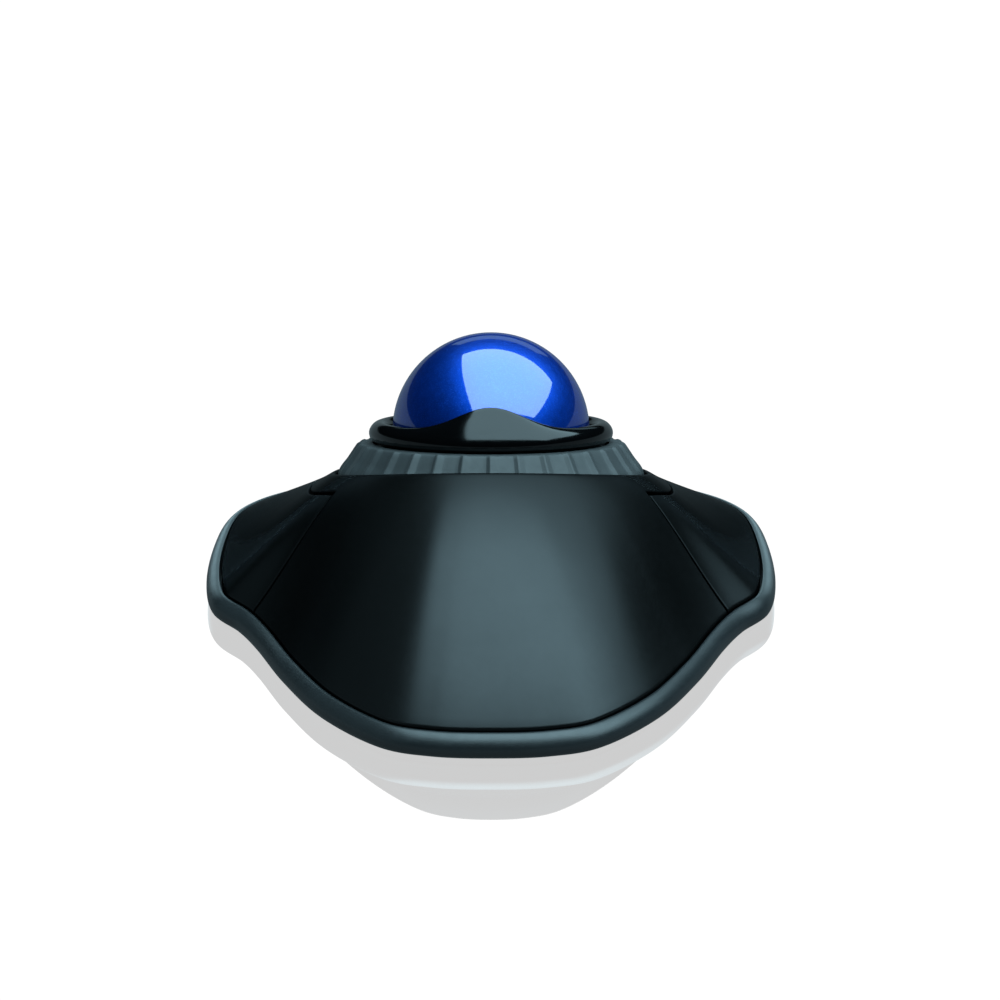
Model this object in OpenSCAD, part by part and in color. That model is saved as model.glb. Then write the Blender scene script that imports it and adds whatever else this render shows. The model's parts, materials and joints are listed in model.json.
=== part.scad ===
// Desktop trackball with a scroll ring: a 40 mm ball in a tilted cup, a fluted ring that turns
// round it, two wing-shaped buttons and a palm panel. Millimetres, +Z up, -Y towards the user.
// Origin: on the desk, under the middle of the outline.

/* [Body] */
// Width over the rim band
body_w = 116; // [114:0.5:120]
// Depth from the front lip to the back edge
body_d = 123; // [121:0.5:127]
// Height of the groove inside the rim band
rim_h = 6.3; // [6:0.1:6.6]
// Plan width of the rim band
rim_w = 2.7; // [2.4:0.1:3]
// Wall thickness of the outer shells
shell_t = 2.4; // [2.2:0.1:2.6]
// Wall thickness of the buttons
button_t = 1.6; // [1.5:0.1:1.6]
// Thickness of the base plate
floor_t = 2; // [1.8:0.1:2.2]
// Gap between the shells and the rim band
rim_gap = 0.45; // [0.35:0.05:0.55]

/* [Ball] */
// Radius of the ball
ball_r = 20; // [19.9:0.05:20.1]
// Height of the ball's centre above the desk
ball_z = 32; // [31.6:0.1:32.4]
// How far the ball's bezel and ring lean away from the user, in degrees
tilt = 19; // [18:0.5:20]
// Radius of the push-out hole under the ball
push_r = 8.5; // [8:0.5:8.5]

/* [Scroll ring] */
// Largest radius of the ring
ring_r = 30.5; // [30.3:0.1:30.6]
// Number of flutes in the grip
flutes = 32; // [24:1:36]
// Number of slots in the encoder skirt
slots = 32; // [24:1:36]
// Running clearance of the ring on the cup
ring_play = 0.05; // [0.03:0.01:0.08]

/* [Buttons] */
// Half the sweep of the palm panel, from the front centre line to each seam, in degrees
seam = 60.5; // [60:0.5:61]
// Half the sweep of the fixed spine at the back, in degrees
spine = 10; // [9:0.5:11]
// Sweep of the gap between a button and its neighbours, in degrees
seam_gap = 0.5; // [0.4:0.1:0.6]
// Radius of each button's pivot pin
pin_r = 1; // [0.9:0.05:1.1]

/* [Cable] */
// Diameter of the cable that the outlet is made for
cable_d = 3.8; // [3.4:0.1:4]

/* [Hidden] */
$fn = 64;

foot_h = 0.9;                       // the base plate's underside above the desk
foot_t = 1.3;                       // a foot, with the part that sits in its recess
floor_top = foot_h + floor_t;
deck = 5.5;                         // top of the screw bosses on the base plate
ball_y = 17;
pos_ball = [0, ball_y, ball_z];
eps = 0.01;

shell_colour = "#20262a";
rim_colour = "#3d474c";
inner_colour = "#2a2a2c";
board_colour = "#1f6b3a";
steel = "#b9bcc0";

// ---------------------------------------------------------------- outline and lofted skin

// Half of the plan outline, front to back: a nearly straight front lip, a waist, then the wing.
HALF = [[0, -0.5], [11, -0.4943], [21, -0.4667], [32, -0.3805], [40, -0.2724], [46, -0.1667],
    [50.2, -0.1057], [55.9, -0.0447], [58, 0.0488], [57.9, 0.1626], [56, 0.2602], [51, 0.3252],
    [42, 0.378], [30, 0.435], [15, 0.4821], [0, 0.5]];
last_half = len(HALF) - 1;
KNOTS = [for (i = [0 : 2 * last_half - 1]) let (k = i <= last_half ? i : 2 * last_half - i)
    [(i <= last_half ? 1 : -1) * HALF[k][0] * body_w / 116, HALF[k][1] * body_d]];
steps = 4;

function catmull(a, b, c, d, t) = 0.5 * (2 * b + (c - a) * t + (2 * a - 5 * b + 4 * c - d) * t * t
    + (3 * b - a - 3 * c + d) * t * t * t);
function knot(i) = KNOTS[(i + len(KNOTS)) % len(KNOTS)];
OUTLINE = [for (i = [0 : len(KNOTS) - 1], k = [0 : steps - 1])
    catmull(knot(i - 1), knot(i), knot(i + 1), knot(i + 2), k / steps)];

// The outline moved inwards by d
function inset(d) = let (n = len(OUTLINE)) [for (i = [0 : n - 1])
    let (t = OUTLINE[(i + 1) % n] - OUTLINE[(i + n - 1) % n], u = t / norm(t))
    OUTLINE[i] - d * [u[1], -u[0]]];

loft_c = [0, ball_y - 2.73];        // plan centre that the skin's radial lines run to
skin_edge = inset(rim_w + rim_gap);

// Where the line from loft_c at bearing w (0 = front, 90 = right) crosses the skin's edge
function edge_at(w) = let (u = [sin(w), -cos(w)], n = len(skin_edge)) [for (i = [0 : n - 1])
    let (p = skin_edge[i] - loft_c, q = skin_edge[(i + 1) % n] - loft_c,
        s = u[0] * p[1] - u[1] * p[0], t = u[0] * q[1] - u[1] * q[0])
    if (s <= 0 && t > 0 && u * p > 0) loft_c + p - (q - p) * s / (t - s)][0];

// A value set at the front, the side and the back, blended by s = cos(bearing)
function blend(s, f) = f[1] + (f[0] - f[2]) / 2 * s + ((f[0] + f[2]) / 2 - f[1]) * s * s;

well_r = 31.6;                      // radius of the well that the scroll ring sits in
well_h = -8.4;                      // height of the well's mouth, along the tilted axis
well_floor = -13;                   // bottom edge of the well's wall, along the tilted axis
crest = 4;                          // extra height of the palm panel's crest at the front
collar_r = 36.6;                    // outer radius of the fixed collar round the well
collar_dip = 1.3;                   // how much less that is at the seams
collar_dip_w = 10;                  // half-width of the dip, in degrees
slope_out = [1.15, 0.8, 0.2];       // slope where the skin leaves the rim: front, side, back
slope_in = [0.3, 0.7, 0.4];         // slope where it meets the well: front, side, back

// A point at radius r, bearing p and height h in the tilted frame round the ball
function tilted(r, p, h) = pos_ball + [r * sin(p),
    -r * cos(p) * cos(tilt) + h * sin(tilt), r * cos(p) * sin(tilt) + h * cos(tilt)];
function tilted_r(q) = let (d = q - pos_ball, h = d[1] * sin(tilt) + d[2] * cos(tilt))
    sqrt(d * d - h * h);
function mouth(w) = let (s = cos(w))
    tilted(well_r, atan2(sin(w), s / cos(tilt)),
        well_h + (s > 0 ? 0.3 + (crest - 0.3) * pow(s, 1.2) : 0.3 + 0.3 * s));

// Hermite curve from the rim (v = 0) to the well's mouth (v = 1) at bearing w
function skin(w, v) = let (g = edge_at(w), m = mouth(w), s = cos(w),
    run = norm([m[0], m[1]] - g), a = blend(s, slope_out) * run, b = blend(s, slope_in) * run)
    [g[0] + (m[0] - g[0]) * v, g[1] + (m[1] - g[1]) * v,
        (2 * v * v * v - 3 * v * v + 1) * rim_h + (v * v * v - 2 * v * v + v) * a
        + (3 * v * v - 2 * v * v * v) * m[2] + (v * v * v - v * v) * b];

// The v at which the line at bearing w passes radius r of the tilted frame, by halving
function v_at_r(w, r, lo = 0.3, hi = 1, n = 9) = n == 0 ? (lo + hi) / 2
    : let (mid = (lo + hi) / 2) tilted_r(skin(w, mid)) > r
        ? v_at_r(w, r, mid, hi, n - 1) : v_at_r(w, r, lo, mid, n - 1);

lower_rows = 10;                    // rows between the rim and the collar
collar_rows = 3;                    // rows across the collar
collar_gap = 0.55;                  // gap between the collar and a button

// Outer radius of the collar at bearing w
function collar(w) = collar_r - collar_dip * exp(-pow((abs(w) - seam) / collar_dip_w, 2));

// One line of the skin at bearing w: skirt bottom, rim to collar, gap, collar, well wall
function skin_line(w, skirt_z) = let (g = edge_at(w), v1 = v_at_r(w, collar(w) + collar_gap),
    v2 = v_at_r(w, collar(w)), m = mouth(w))
    concat([[g[0], g[1], skirt_z]],
        [for (i = [0 : lower_rows]) skin(w, v1 * i / lower_rows)],
        [for (i = [0 : collar_rows]) skin(w, v2 + (1 - v2) * i / collar_rows)],
        [m - (well_h - well_floor) * [0, sin(tilt), cos(tilt)]]);
button_last = lower_rows + 1;       // index of the last row that belongs to a button
collar_row = button_last + 1;       // index of the collar's lowest row
mouth_row = collar_row + collar_rows;

// ---------------------------------------------------------------- mesh helpers

function unit(v) = v / norm(v);
function clamp(i, n) = min(max(i, 0), n - 1);

// A wall of thickness t under a grid of points P[row][column], with keep[row][column] for each
// cell that exists. Row 0 is a skirt's bottom edge and row 1 the corner above it; top is the row
// of the corner at the well's mouth, if there is one. wrap joins the last column to the first.
module grid_wall(P, t, keep, wrap, top) {
    nr = len(P);
    nc = len(P[0]);
    cols = wrap ? nc : nc - 1;
    function col(j) = wrap ? (j + nc) % nc : clamp(j, nc);
    function normal(i, j, down = 1, up = 1) = unit(cross(P[i][col(j + 1)] - P[i][col(j - 1)],
        P[clamp(i + up, nr)][j] - P[clamp(i - down, nr)][j]));
    function mitre(i, j) = let (n = normal(i, j, 1, 0) + normal(i, j, 0, 1))
        P[i][j] - 2 * t / (n * n) * n;
    function under(i, j) = i == 1 || i == top ? mitre(i, j)
        : i > collar_row && i < top ? let (s = (i - collar_row) / (top - collar_row))
            under(collar_row, j) * (1 - s) + mitre(top, j) * s
        : P[i][j] - t * normal(i, j);
    function kept(i, j) = i < 0 || i > nr - 2 ? false
        : wrap ? keep[i][(j + nc) % nc] : (j < 0 || j > cols - 1 ? false : keep[i][j]);
    function tri2(a, b, c, d) = [[a, b, c], [a, c, d]];
    used = [for (i = [0 : nr - 1], j = [0 : nc - 1])
        kept(i, j) || kept(i - 1, j) || kept(i, j - 1) || kept(i - 1, j - 1)];
    outer = [for (r = P, q = r) q];
    inner = [for (i = [0 : nr - 1], j = [0 : nc - 1]) used[i * nc + j] ? under(i, j) : P[i][j]];
    o = nr * nc;
    faces = [for (i = [0 : nr - 2], j = [0 : cols - 1]) if (kept(i, j))
        let (a = i * nc + j, b = i * nc + (j + 1) % nc, c = b + nc, d = a + nc)
        each concat(tri2(a, d, c, b), tri2(a + o, b + o, c + o, d + o),
            kept(i - 1, j) ? [] : tri2(a, b, b + o, a + o),
            kept(i, j + 1) ? [] : tri2(b, c, c + o, b + o),
            kept(i + 1, j) ? [] : tri2(c, d, d + o, c + o),
            kept(i, j - 1) ? [] : tri2(d, a, a + o, d + o))];
    points = concat(outer, inner);
    index = [for (i = 0, k = 0; i < 2 * o; k = k + (used[i % o] ? 1 : 0), i = i + 1) k];
    polyhedron([for (i = [0 : 2 * o - 1]) if (used[i % o]) points[i]],
        [for (f = faces) [for (q = f) index[q]]]);
}

// A ring through closed loops L[k][j], each loop running anticlockwise seen from above
module loop_ring(L) {
    n = len(L[0]);
    m = len(L);
    faces = [for (k = [0 : m - 1], j = [0 : n - 1])
        let (a = k * n + j, b = k * n + (j + 1) % n, c = (k + 1) % m * n + (j + 1) % n,
            d = (k + 1) % m * n + j)
        each [[a, d, c], [a, c, b]]];
    polyhedron([for (l = L, q = l) q], faces);
}

module at_ball() translate(pos_ball) rotate([-tilt, 0, 0]) children();
module both() { children(); mirror([1, 0, 0]) children(); }
module at(points) for (p = points) translate(p) children();

// ---------------------------------------------------------------- fasteners

screw_r = 1.2;
pilot_play = 0.02;
screw_head_r = 2.4;
screw_head_h = 1.6;
bearing_z = 3;                      // where the case screws' heads bear
small_r = 0.9;
small_head_r = 1.7;
small_head_h = 1.1;

// A cross-head screw, head below z = 0, shank up to z = length
module screw(r, head_r, head_h, length) difference() {
    union() {
        cylinder(r = r, h = length);
        translate([0, 0, -head_h]) cylinder(r = head_r, h = head_h);
    }
    for (a = [0, 90]) rotate(a) translate([-head_r * 0.55, -0.3, -head_h - eps])
        cube([head_r * 1.1, 0.6, head_h * 0.6]);
}

// ---------------------------------------------------------------- base plate and rim

SHELL_POSTS = [[24, -34, 10.6], [-24, -34, 10.6], [0, -48, 8.6]];   // x, y and length
PEG_BEARINGS = [145, -145];         // pegs under the well's wall locate the shell's back
peg_r = 1;
PEGS = [for (w = PEG_BEARINGS) tilted(well_r + shell_t / 2, w, well_floor)];
LEG_BEARINGS = [35, -35, 140, -140];
leg_ring = 28;                      // radius at which the frame's legs stand
frame_top = -13.8;                  // upper face of the inner frame's plate, along the axis
frame_t = 1.6;
LEGS = [for (w = LEG_BEARINGS) tilted(leg_ring, w, frame_top - frame_t / 2)];
FEET = [[17, -48], [-17, -48], [46, 9], [-46, 9], [22, 47], [-22, 47]];
foot_r = 5;
boss_r = 4;

board_w = 40;
board_y = [-42, -14];
board_z = 7;
board_t = 1.6;
BOARD_POSTS = [for (x = [17.2, -17.2], y = [board_y[0] + 2.6, board_y[1] - 2.6]) [x, y]];

pivot = [37.6, 1, 11];              // middle of the right button's pivot pin
lug_w = 3.4;
lug_r = 2.5;
lug_tops = [22.2, 19];              // heights of the lug at its inner and outer side
push_post_r = 1.5;                  // post of a button that presses the switch
push_post_h = 3;
ear_w = 2;
ear_gap = 0.3;
ear_r = 2.6;
ear_x = lug_w / 2 + ear_gap;
pin_play = 0.05;

switch_pos = [35.6, 23.4];          // middle of the right switch
switch_size = [5.8, 12.8, 6.5];
switch_board_z = 3.5;
switch_board_t = 1.2;
plunger_y = 27.4;
plunger_r = 1.2;
plunger_h = 1;
switch_top = switch_board_z + switch_board_t + switch_size[2];

module pivot_ears() for (x = [-ear_x - ear_w, ear_x]) translate([pivot[0] + x, pivot[1], 0])
    difference() {
        union() {
            translate([0, -ear_r, floor_top]) cube([ear_w, 2 * ear_r, pivot[2] - floor_top]);
            translate([0, 0, pivot[2]]) rotate([0, 90, 0]) cylinder(r = ear_r, h = ear_w);
        }
        translate([-eps, 0, pivot[2]]) rotate([0, 90, 0])
            cylinder(r = pin_r + eps, h = ear_w + 2 * eps);
    }

module base_plate() color(inner_colour) difference() {
    union() {
        translate([0, 0, foot_h]) linear_extrude(floor_t) polygon(inset(rim_w));
        for (p = concat(SHELL_POSTS, LEGS)) translate([p[0], p[1], foot_h])
            cylinder(r = boss_r, h = deck - foot_h);
        for (p = PEGS) translate([p[0], p[1], foot_h]) cylinder(r = peg_r + 1.2, h = deck - foot_h);
        for (p = BOARD_POSTS) translate([p[0], p[1], foot_h])
            cylinder(r = 2.2, h = board_z - foot_h);
        translate([0, ball_y, foot_h]) cylinder(r = push_r + 1.5, h = 9.2 - foot_h);
        both() pivot_ears();
        both() for (y = [switch_pos[1] - 7.4, switch_pos[1] + 7.4])
            translate([switch_pos[0], y, foot_h]) cylinder(r = 1.8, h = switch_board_z - foot_h);
    }
    translate([0, ball_y, 0]) cylinder(r = push_r, h = 12);
    for (p = concat(SHELL_POSTS, LEGS)) translate([p[0], p[1], 0]) {
        cylinder(r = screw_r + 0.1, h = deck + 1);
        cylinder(r = screw_head_r + 0.2, h = bearing_z);
    }
    for (p = PEGS) translate([p[0], p[1], floor_top]) cylinder(r = peg_r + pilot_play, h = deck);
    for (p = BOARD_POSTS) translate([p[0], p[1], floor_top + 1])
        cylinder(r = small_r + pilot_play, h = board_z);
    for (p = FEET) translate([p[0], p[1], 0]) cylinder(r = foot_r, h = foot_t);
}

gland_r = 3.2;                      // outer radius, height and length of the cable gland
gland_z = 5.2;
gland_l = 6.4;

// Section of the rim band: inset from the outline and height, up the outside and back down
RIM_PROFILE = [[1.2, 1.2], [0.3, 1.9], [0, 3], [0.3, 4.2], [1.1, 5.3], [2, 5.95], [2.7, 5.9],
    [2.7, 1.2]];
module rim_band() color(rim_colour) difference() {
    loop_ring([for (p = RIM_PROFILE) [for (q = inset(p[0] * rim_w / 2.7)) [q[0], q[1],
        p[1] * rim_h / 6.3]]]);
    translate([-gland_r - 0.1, body_d / 2 - gland_l, floor_top - 0.1])
        cube([2 * gland_r + 0.2, 2 * gland_l, 2 * rim_h]);
}

// ---------------------------------------------------------------- top shell and buttons

palm_cells = 26;
wing_cells = 26;
half_gap = seam_gap / 2;
edge_a = seam - half_gap;           // last bearing of the palm panel
edge_b = seam + half_gap;           // first bearing of a button
edge_c = 180 - spine - half_gap;    // last bearing of a button
edge_d = 180 - spine + half_gap;    // first bearing of the spine
outlet_gap = 0.15;                  // between the cable gland and the spine
outlet = atan((gland_r + outlet_gap) / (body_d / 2 - rim_w - rim_gap - loft_c[1]));
outlet_rows = 5;                    // rows of cells that the gland's notch takes out
function even(a, b, n) = [for (i = [0 : n]) a + (b - a) * i / n];
SPINE_BEARINGS = concat(even(edge_d, 180 - outlet, 2), even(180, 180 + outlet, 1),
    even((540 + outlet - edge_d) / 2, 360 - edge_d, 1));
SHELL_BEARINGS = concat(even(-edge_a, edge_a, palm_cells), even(edge_b, edge_c, wing_cells),
    SPINE_BEARINGS, even(360 - edge_c, 360 - edge_b, wing_cells));
function wrapped(w) = w > 180 ? w - 360 : w;
function grid(bearings, skirt_z) = let (lines = [for (w = bearings) skin_line(wrapped(w), skirt_z)])
    [for (i = [0 : len(lines[0]) - 1]) [for (l = lines) l[i]]];

spine_cell = palm_cells + wing_cells + 2;   // first cell of the spine
spine_cells = len(SPINE_BEARINGS) - 1;
function in_spine(j, trim) = j >= spine_cell + trim && j < spine_cell + spine_cells - trim;
function fixed_cell(i, j) = i > button_last || j < palm_cells
    || (in_spine(j, 0) && !(in_spine(j, 2) && i < outlet_rows));

post_r = 2.8;
module top_shell() color(shell_colour) {
    P = grid(SHELL_BEARINGS, floor_top);
    grid_wall(P, shell_t, [for (i = [0 : len(P) - 2])
        [for (j = [0 : len(P[0]) - 1]) fixed_cell(i, j)]], true, mouth_row);
    for (p = SHELL_POSTS) translate([p[0], p[1], deck]) difference() {
        cylinder(r = post_r, h = p[2]);
        translate([0, 0, -eps]) cylinder(r = screw_r + pilot_play, h = 5.5);
    }
    for (p = PEGS) translate([p[0], p[1], floor_top + 0.5])
        cylinder(r = peg_r, h = p[2] + 1.2 - floor_top - 0.5);
}

button_skirt = 4.4;                 // bottom edge of a button's skirt
module button() {
    P = grid(concat([edge_a], even(edge_b, edge_c, wing_cells), [edge_d]), button_skirt);
    difference() {
        union() {
            grid_wall([for (i = [0 : collar_row]) P[i]], button_t, [for (i = [0 : button_last])
                [for (j = [0 : wing_cells + 1]) i < button_last && j > 0 && j <= wing_cells]],
                false, mouth_row);
            translate([pivot[0], pivot[1] + lug_r, 0]) rotate([90, 0, 0])
                linear_extrude(2 * lug_r) polygon([[-lug_w / 2, pivot[2]],
                    [lug_w / 2, pivot[2]], [lug_w / 2, lug_tops[1]], [-lug_w / 2, lug_tops[0]]]);
            translate([pivot[0] - lug_w / 2, pivot[1], pivot[2]]) rotate([0, 90, 0])
                cylinder(r = lug_r, h = lug_w);
            translate([switch_pos[0], plunger_y, switch_top + plunger_h + 0.1])
                cylinder(r = push_post_r, h = push_post_h);
        }
        translate([pivot[0] - lug_w, pivot[1], pivot[2]]) rotate([0, 90, 0])
            cylinder(r = pin_r + pin_play, h = 2 * lug_w);
    }
}
module right_button() color(shell_colour) button();
module left_button() color(shell_colour) mirror([1, 0, 0]) button();

module pivot_pin() color(steel) translate([pivot[0] - ear_x - ear_w, pivot[1], pivot[2]])
    rotate([0, 90, 0]) cylinder(r = pin_r, h = 2 * (ear_x + ear_w));
module right_pivot_pin() pivot_pin();
module left_pivot_pin() mirror([1, 0, 0]) pivot_pin();

// ---------------------------------------------------------------- ball, cup, frame and bezel

journal_r = 22.4;                   // the ring turns on this part of the cup
cup_r = 22.8;
cup_gap = 0.9;                      // between the ball and the cup
cup_top = -3;
flange_r = 26.4;
flange_t = 1.4;
sensor_dip = 40;                    // how far below level the sensor looks at the ball from
bearing_r = 1.25;
bearing_dip = 35;                   // the bearings' place below the ball's middle, in degrees
ball_touch = 0.1;

THIRDS = [90, 210, 330];
cup_screw_r = 24.6;                 // radius at which screws hold the cup to the frame
sensor_screw_x = 7.2;
encoder_screw = [7, -26];

module at_sensor() translate(pos_ball) rotate([90 + sensor_dip, 0, 0]) children();
module at_bearings() at_ball() for (w = THIRDS) rotate(w) rotate([0, 90 + bearing_dip, 0])
    translate([0, 0, ball_r + bearing_r + ball_touch]) children();

module ball() color("#1c3fae") translate(pos_ball) sphere(r = ball_r);

module ball_cup() color(inner_colour) difference() {
    union() {
        at_ball() {
            translate([0, 0, frame_top]) cylinder(r = journal_r, h = cup_top - frame_top);
            translate([0, 0, frame_top]) cylinder(r = flange_r, h = flange_t);
            intersection() {
                sphere(r = cup_r);
                translate([-30, -30, -30]) cube([60, 60, 30 + frame_top]);
            }
        }
        at_sensor() for (x = [-sensor_screw_x, sensor_screw_x]) translate([x, 0, 19.5])
            cylinder(r = 1.6, h = 7.9);
    }
    translate(pos_ball) sphere(r = ball_r + cup_gap);
    translate([0, ball_y, 0]) cylinder(r = push_r, h = 20);
    at_sensor() {
        cylinder(r = 4.6, h = 26);
        translate([0, 5.9, 0]) cylinder(r = 1.5, h = 26);
        for (x = [-sensor_screw_x, sensor_screw_x]) translate([x, 0, 23.5])
            cylinder(r = small_r + pilot_play, h = 8);
    }
    at_bearings() sphere(r = bearing_r + eps);
    at_ball() {
        translate([-3, -flange_r - 1, frame_top - eps]) cube([6, 4, 6]);
        for (w = THIRDS) rotate(w) translate([cup_screw_r, 0, frame_top - eps])
            cylinder(r = small_r + pilot_play, h = 3);
    }
}

module support_bearings() color(steel) at_bearings() sphere(r = bearing_r);

module inner_frame() color(inner_colour) difference() {
    union() {
        at_ball() translate([0, 0, frame_top - frame_t]) cylinder(r = well_r - 0.4, h = frame_t);
        for (p = LEGS) translate([p[0], p[1], deck]) cylinder(r = 3, h = p[2] - deck - 0.2);
        at_ball() for (x = [-1, 1]) translate([x * encoder_screw[0], encoder_screw[1], encoder_z])
            cylinder(r = 1.5, h = frame_top - encoder_z - 0.5);
    }
    at_ball() {
        translate([0, 0, frame_top - 10]) cylinder(r = cup_r + 0.1, h = 20);
        translate([-3, -well_r - 1, frame_top - 6]) cube([6, 9, 7]);
        for (x = [-1, 1]) translate([x * encoder_screw[0], encoder_screw[1], encoder_z - eps])
            cylinder(r = small_r + pilot_play, h = 3);
        for (w = THIRDS) rotate(w) translate([cup_screw_r, 0, frame_top - 3])
            cylinder(r = small_r + 0.1, h = 4);
        translate([-40, -40, frame_top]) cube([80, 80, 20]);
    }
    for (p = LEGS) translate([p[0], p[1], deck - eps])
        cylinder(r = screw_r + pilot_play, h = 4.2);
}

// Section of the bezel (radius, height, lift and lean of the wave), up the outside, down the bore
BEZEL_PROFILE = [[22.3, -3, 0, 0], [22.7, -2.4, 0, 0], [24.2, -1.6, 0, 0], [24.7, -0.6, 0.3, 0.1],
    [24.6, 0.5, 1.6, 0.7], [23.8, 1.6, 3.2, 0.85], [22.6, 2.1, 4.5, 0.45], [21.4, 1.8, 4.7, 0.2],
    [20.75, 0.8, 4.4, 0.1], [20.75, -3, 0, 0]];
wave_w = 24;                        // half-width of the wave, in degrees
bezel_cells = 72;
module ball_bezel() color("#0b0b0d") loop_ring([for (p = BEZEL_PROFILE)
    [for (j = [0 : bezel_cells - 1]) let (w = j * 360 / bezel_cells, x = wrapped(w) / wave_w)
        tilted(p[0] - p[3] * exp(-x * x), w, p[1] + p[2] * exp(-x * x))]]);

// ---------------------------------------------------------------- scroll ring

skirt_r = [27.2, 28.2];             // inner and outer radius of the slotted encoder skirt
skirt_end = -13;

GRIP = [[24, -2.2], [26.1, -2.3], [26.55, -2.6], [27.6, -4.1], [28.6, -5.6], [29.7, -7],
    [ring_r - 0.2, -8], [ring_r, -9], [ring_r, -10.4], [29.3, -10.4], [29.3, -8.7],
    [28.6, -7.6], [25.4, -3.6], [24, -3.6]];
rib_h = 0.58;                       // height of a grip rib over the ring's face
grip_lean = 38;                     // lean of the ribs from the ring's axis, in degrees

// Each rib has a steep face on one side and a long bevel on the other.
module grip_ribs() intersection() {
    for (i = [0 : flutes - 1]) rotate(i * 360 / flutes) translate([28.1, 0, -4.9])
        rotate([0, -grip_lean, 0]) rotate([0, 0, -90]) translate([0, 0, -6]) linear_extrude(12)
            polygon([[0.65, -2], [0.5, 0], [0.1, rib_h], [-0.25, rib_h], [-1.45, 0], [-1.6, -2]]);
    rotate_extrude() polygon([[25.5, -2.5], [26.4, -2.4], [27.05, -2.5], [28.15, -4], [29.15, -5.5],
        [30.2, -6.9], [ring_r + 0.1, -7.9], [ring_r + 0.1, -10.4], [29.4, -10.4], [29.4, -8.7],
        [28.7, -7.6], [25.5, -3.7]]);
}
module scroll_ring_grip() color("#596469") at_ball() {
    rotate_extrude() polygon(GRIP);
    grip_ribs();
}

module scroll_ring_carrier() color(inner_colour) at_ball() difference() {
    rotate_extrude() polygon([[journal_r + ring_play, -11.6], [23.7, -11.6], [23.7, -6],
        [25, -6], [skirt_r[0], -9], [skirt_r[0], skirt_end], [skirt_r[1], skirt_end],
        [skirt_r[1], -10.4], [29.3, -10.4], [29.3, -8.7], [28.6, -7.6], [25.4, -3.6],
        [24, -3.6], [24, -3.2], [journal_r + ring_play, -3.2]]);
    for (i = [0 : slots - 1]) rotate((i + 0.5) * 360 / slots)
        translate([skirt_r[0] - 0.5, -1.3, skirt_end - 1]) cube([2, 2.6, 3.2]);
}

encoder_z = -17.2;                  // upper face of the encoder board, along the axis
opto_top = -11;
module opto(y0, y1) at_ball() translate([-2.2, -y1, encoder_z])
    cube([4.4, y1 - y0, opto_top - encoder_z]);
module ring_emitter() color("#3a3140") opto(24.4, 26.6);
module ring_detector() color("#101014") opto(28.9, 30.9);
module ring_encoder_board() color(board_colour) at_ball() difference() {
    translate([-9, -31, encoder_z - 1.2]) cube([18, 8.5, 1.2]);
    for (x = [-1, 1]) translate([x * encoder_screw[0], encoder_screw[1], encoder_z - 2])
        cylinder(r = small_r + 0.1, h = 3);
}

// ---------------------------------------------------------------- ball sensor

sensor_board_z = 27.4;              // distance of the sensor's board from the ball's middle
module sensor_board() color(board_colour) at_sensor() difference() {
    translate([-9, -7.5, sensor_board_z]) cube([18, 15, 1.6]);
    for (x = [-sensor_screw_x, sensor_screw_x]) translate([x, 0, sensor_board_z - 1])
        cylinder(r = small_r + 0.1, h = 4);
}
module sensor_chip() color("#15161a") at_sensor()
    translate([-4.6, -3.6, sensor_board_z - 2.2]) cube([9.2, 7.2, 2.2]);
module sensor_lens() color("#c9d6dc") at_sensor() rotate_extrude() polygon([[0, 21], [1.6, 21.2],
    [2.8, 21.8], [3.5, 22.6], [3.8, 23.2], [4.4, 23.2], [4.4, 24.2], [3.4, 24.2], [3.4, 25.2],
    [0, 25.2]]);
module sensor_led() color("#a03a3a") at_sensor() translate([0, 5.9, 24.4]) {
    cylinder(r = 1.3, h = 3);
    sphere(r = 1.3);
}

// ---------------------------------------------------------------- main board

module main_board() color(board_colour) difference() {
    translate([-board_w / 2, board_y[0], board_z])
        cube([board_w, board_y[1] - board_y[0], board_t]);
    for (p = BOARD_POSTS) translate([p[0], p[1], board_z - 1])
        cylinder(r = small_r + 0.1, h = 4);
}
board_top = board_z + board_t;
module microcontroller() color("#15161a") translate([0, -29, board_top])
    translate([-4.5, -4.5, 0]) cube([9, 9, 1.5]);
module crystal() color(steel) translate([9.5, -33, board_top]) {
    translate([-2.3, -3, 0]) cube([4.6, 6, 3.4]);
    for (y = [-3, 3]) translate([0, y, 0]) cylinder(r = 2.3, h = 3.4);
}
module capacitors() color("#31404f") for (p = [[-10, -35], [-10, -29], [-15.5, -26]])
    translate([p[0], p[1], board_top]) cylinder(r = 2, h = 5.4);
module cable_header() color("#e6e2d6") translate([0, -19, board_top]) difference() {
    translate([-6.5, -2.6, 0]) cube([13, 5.2, 6.2]);
    translate([-5.7, -1.9, 1.2]) cube([11.4, 3.8, 6]);
}

// ---------------------------------------------------------------- button switches

module switch_board() color(board_colour) translate([switch_pos[0], switch_pos[1], 0])
    translate([-4.2, -9.4, switch_board_z]) cube([8.4, 18.8, switch_board_t]);
module switch_body() color("#1b1b1e") difference() {
    translate([switch_pos[0], switch_pos[1], switch_board_z + switch_board_t + switch_size[2] / 2])
        cube(switch_size, center = true);
    translate([switch_pos[0], plunger_y, switch_top - 2.5])
        cylinder(r = plunger_r + 0.05, h = 3);
}
module switch_plunger() color("#d8d4c4") translate([switch_pos[0], plunger_y, switch_top - 1.6])
    cylinder(r = plunger_r, h = 1.6 + plunger_h);
module right_switch_board() switch_board();
module left_switch_board() mirror([1, 0, 0]) switch_board();
module right_switch_body() switch_body();
module left_switch_body() mirror([1, 0, 0]) switch_body();
module right_switch_plunger() switch_plunger();
module left_switch_plunger() mirror([1, 0, 0]) switch_plunger();

// ---------------------------------------------------------------- cable outlet, screws, feet

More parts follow.
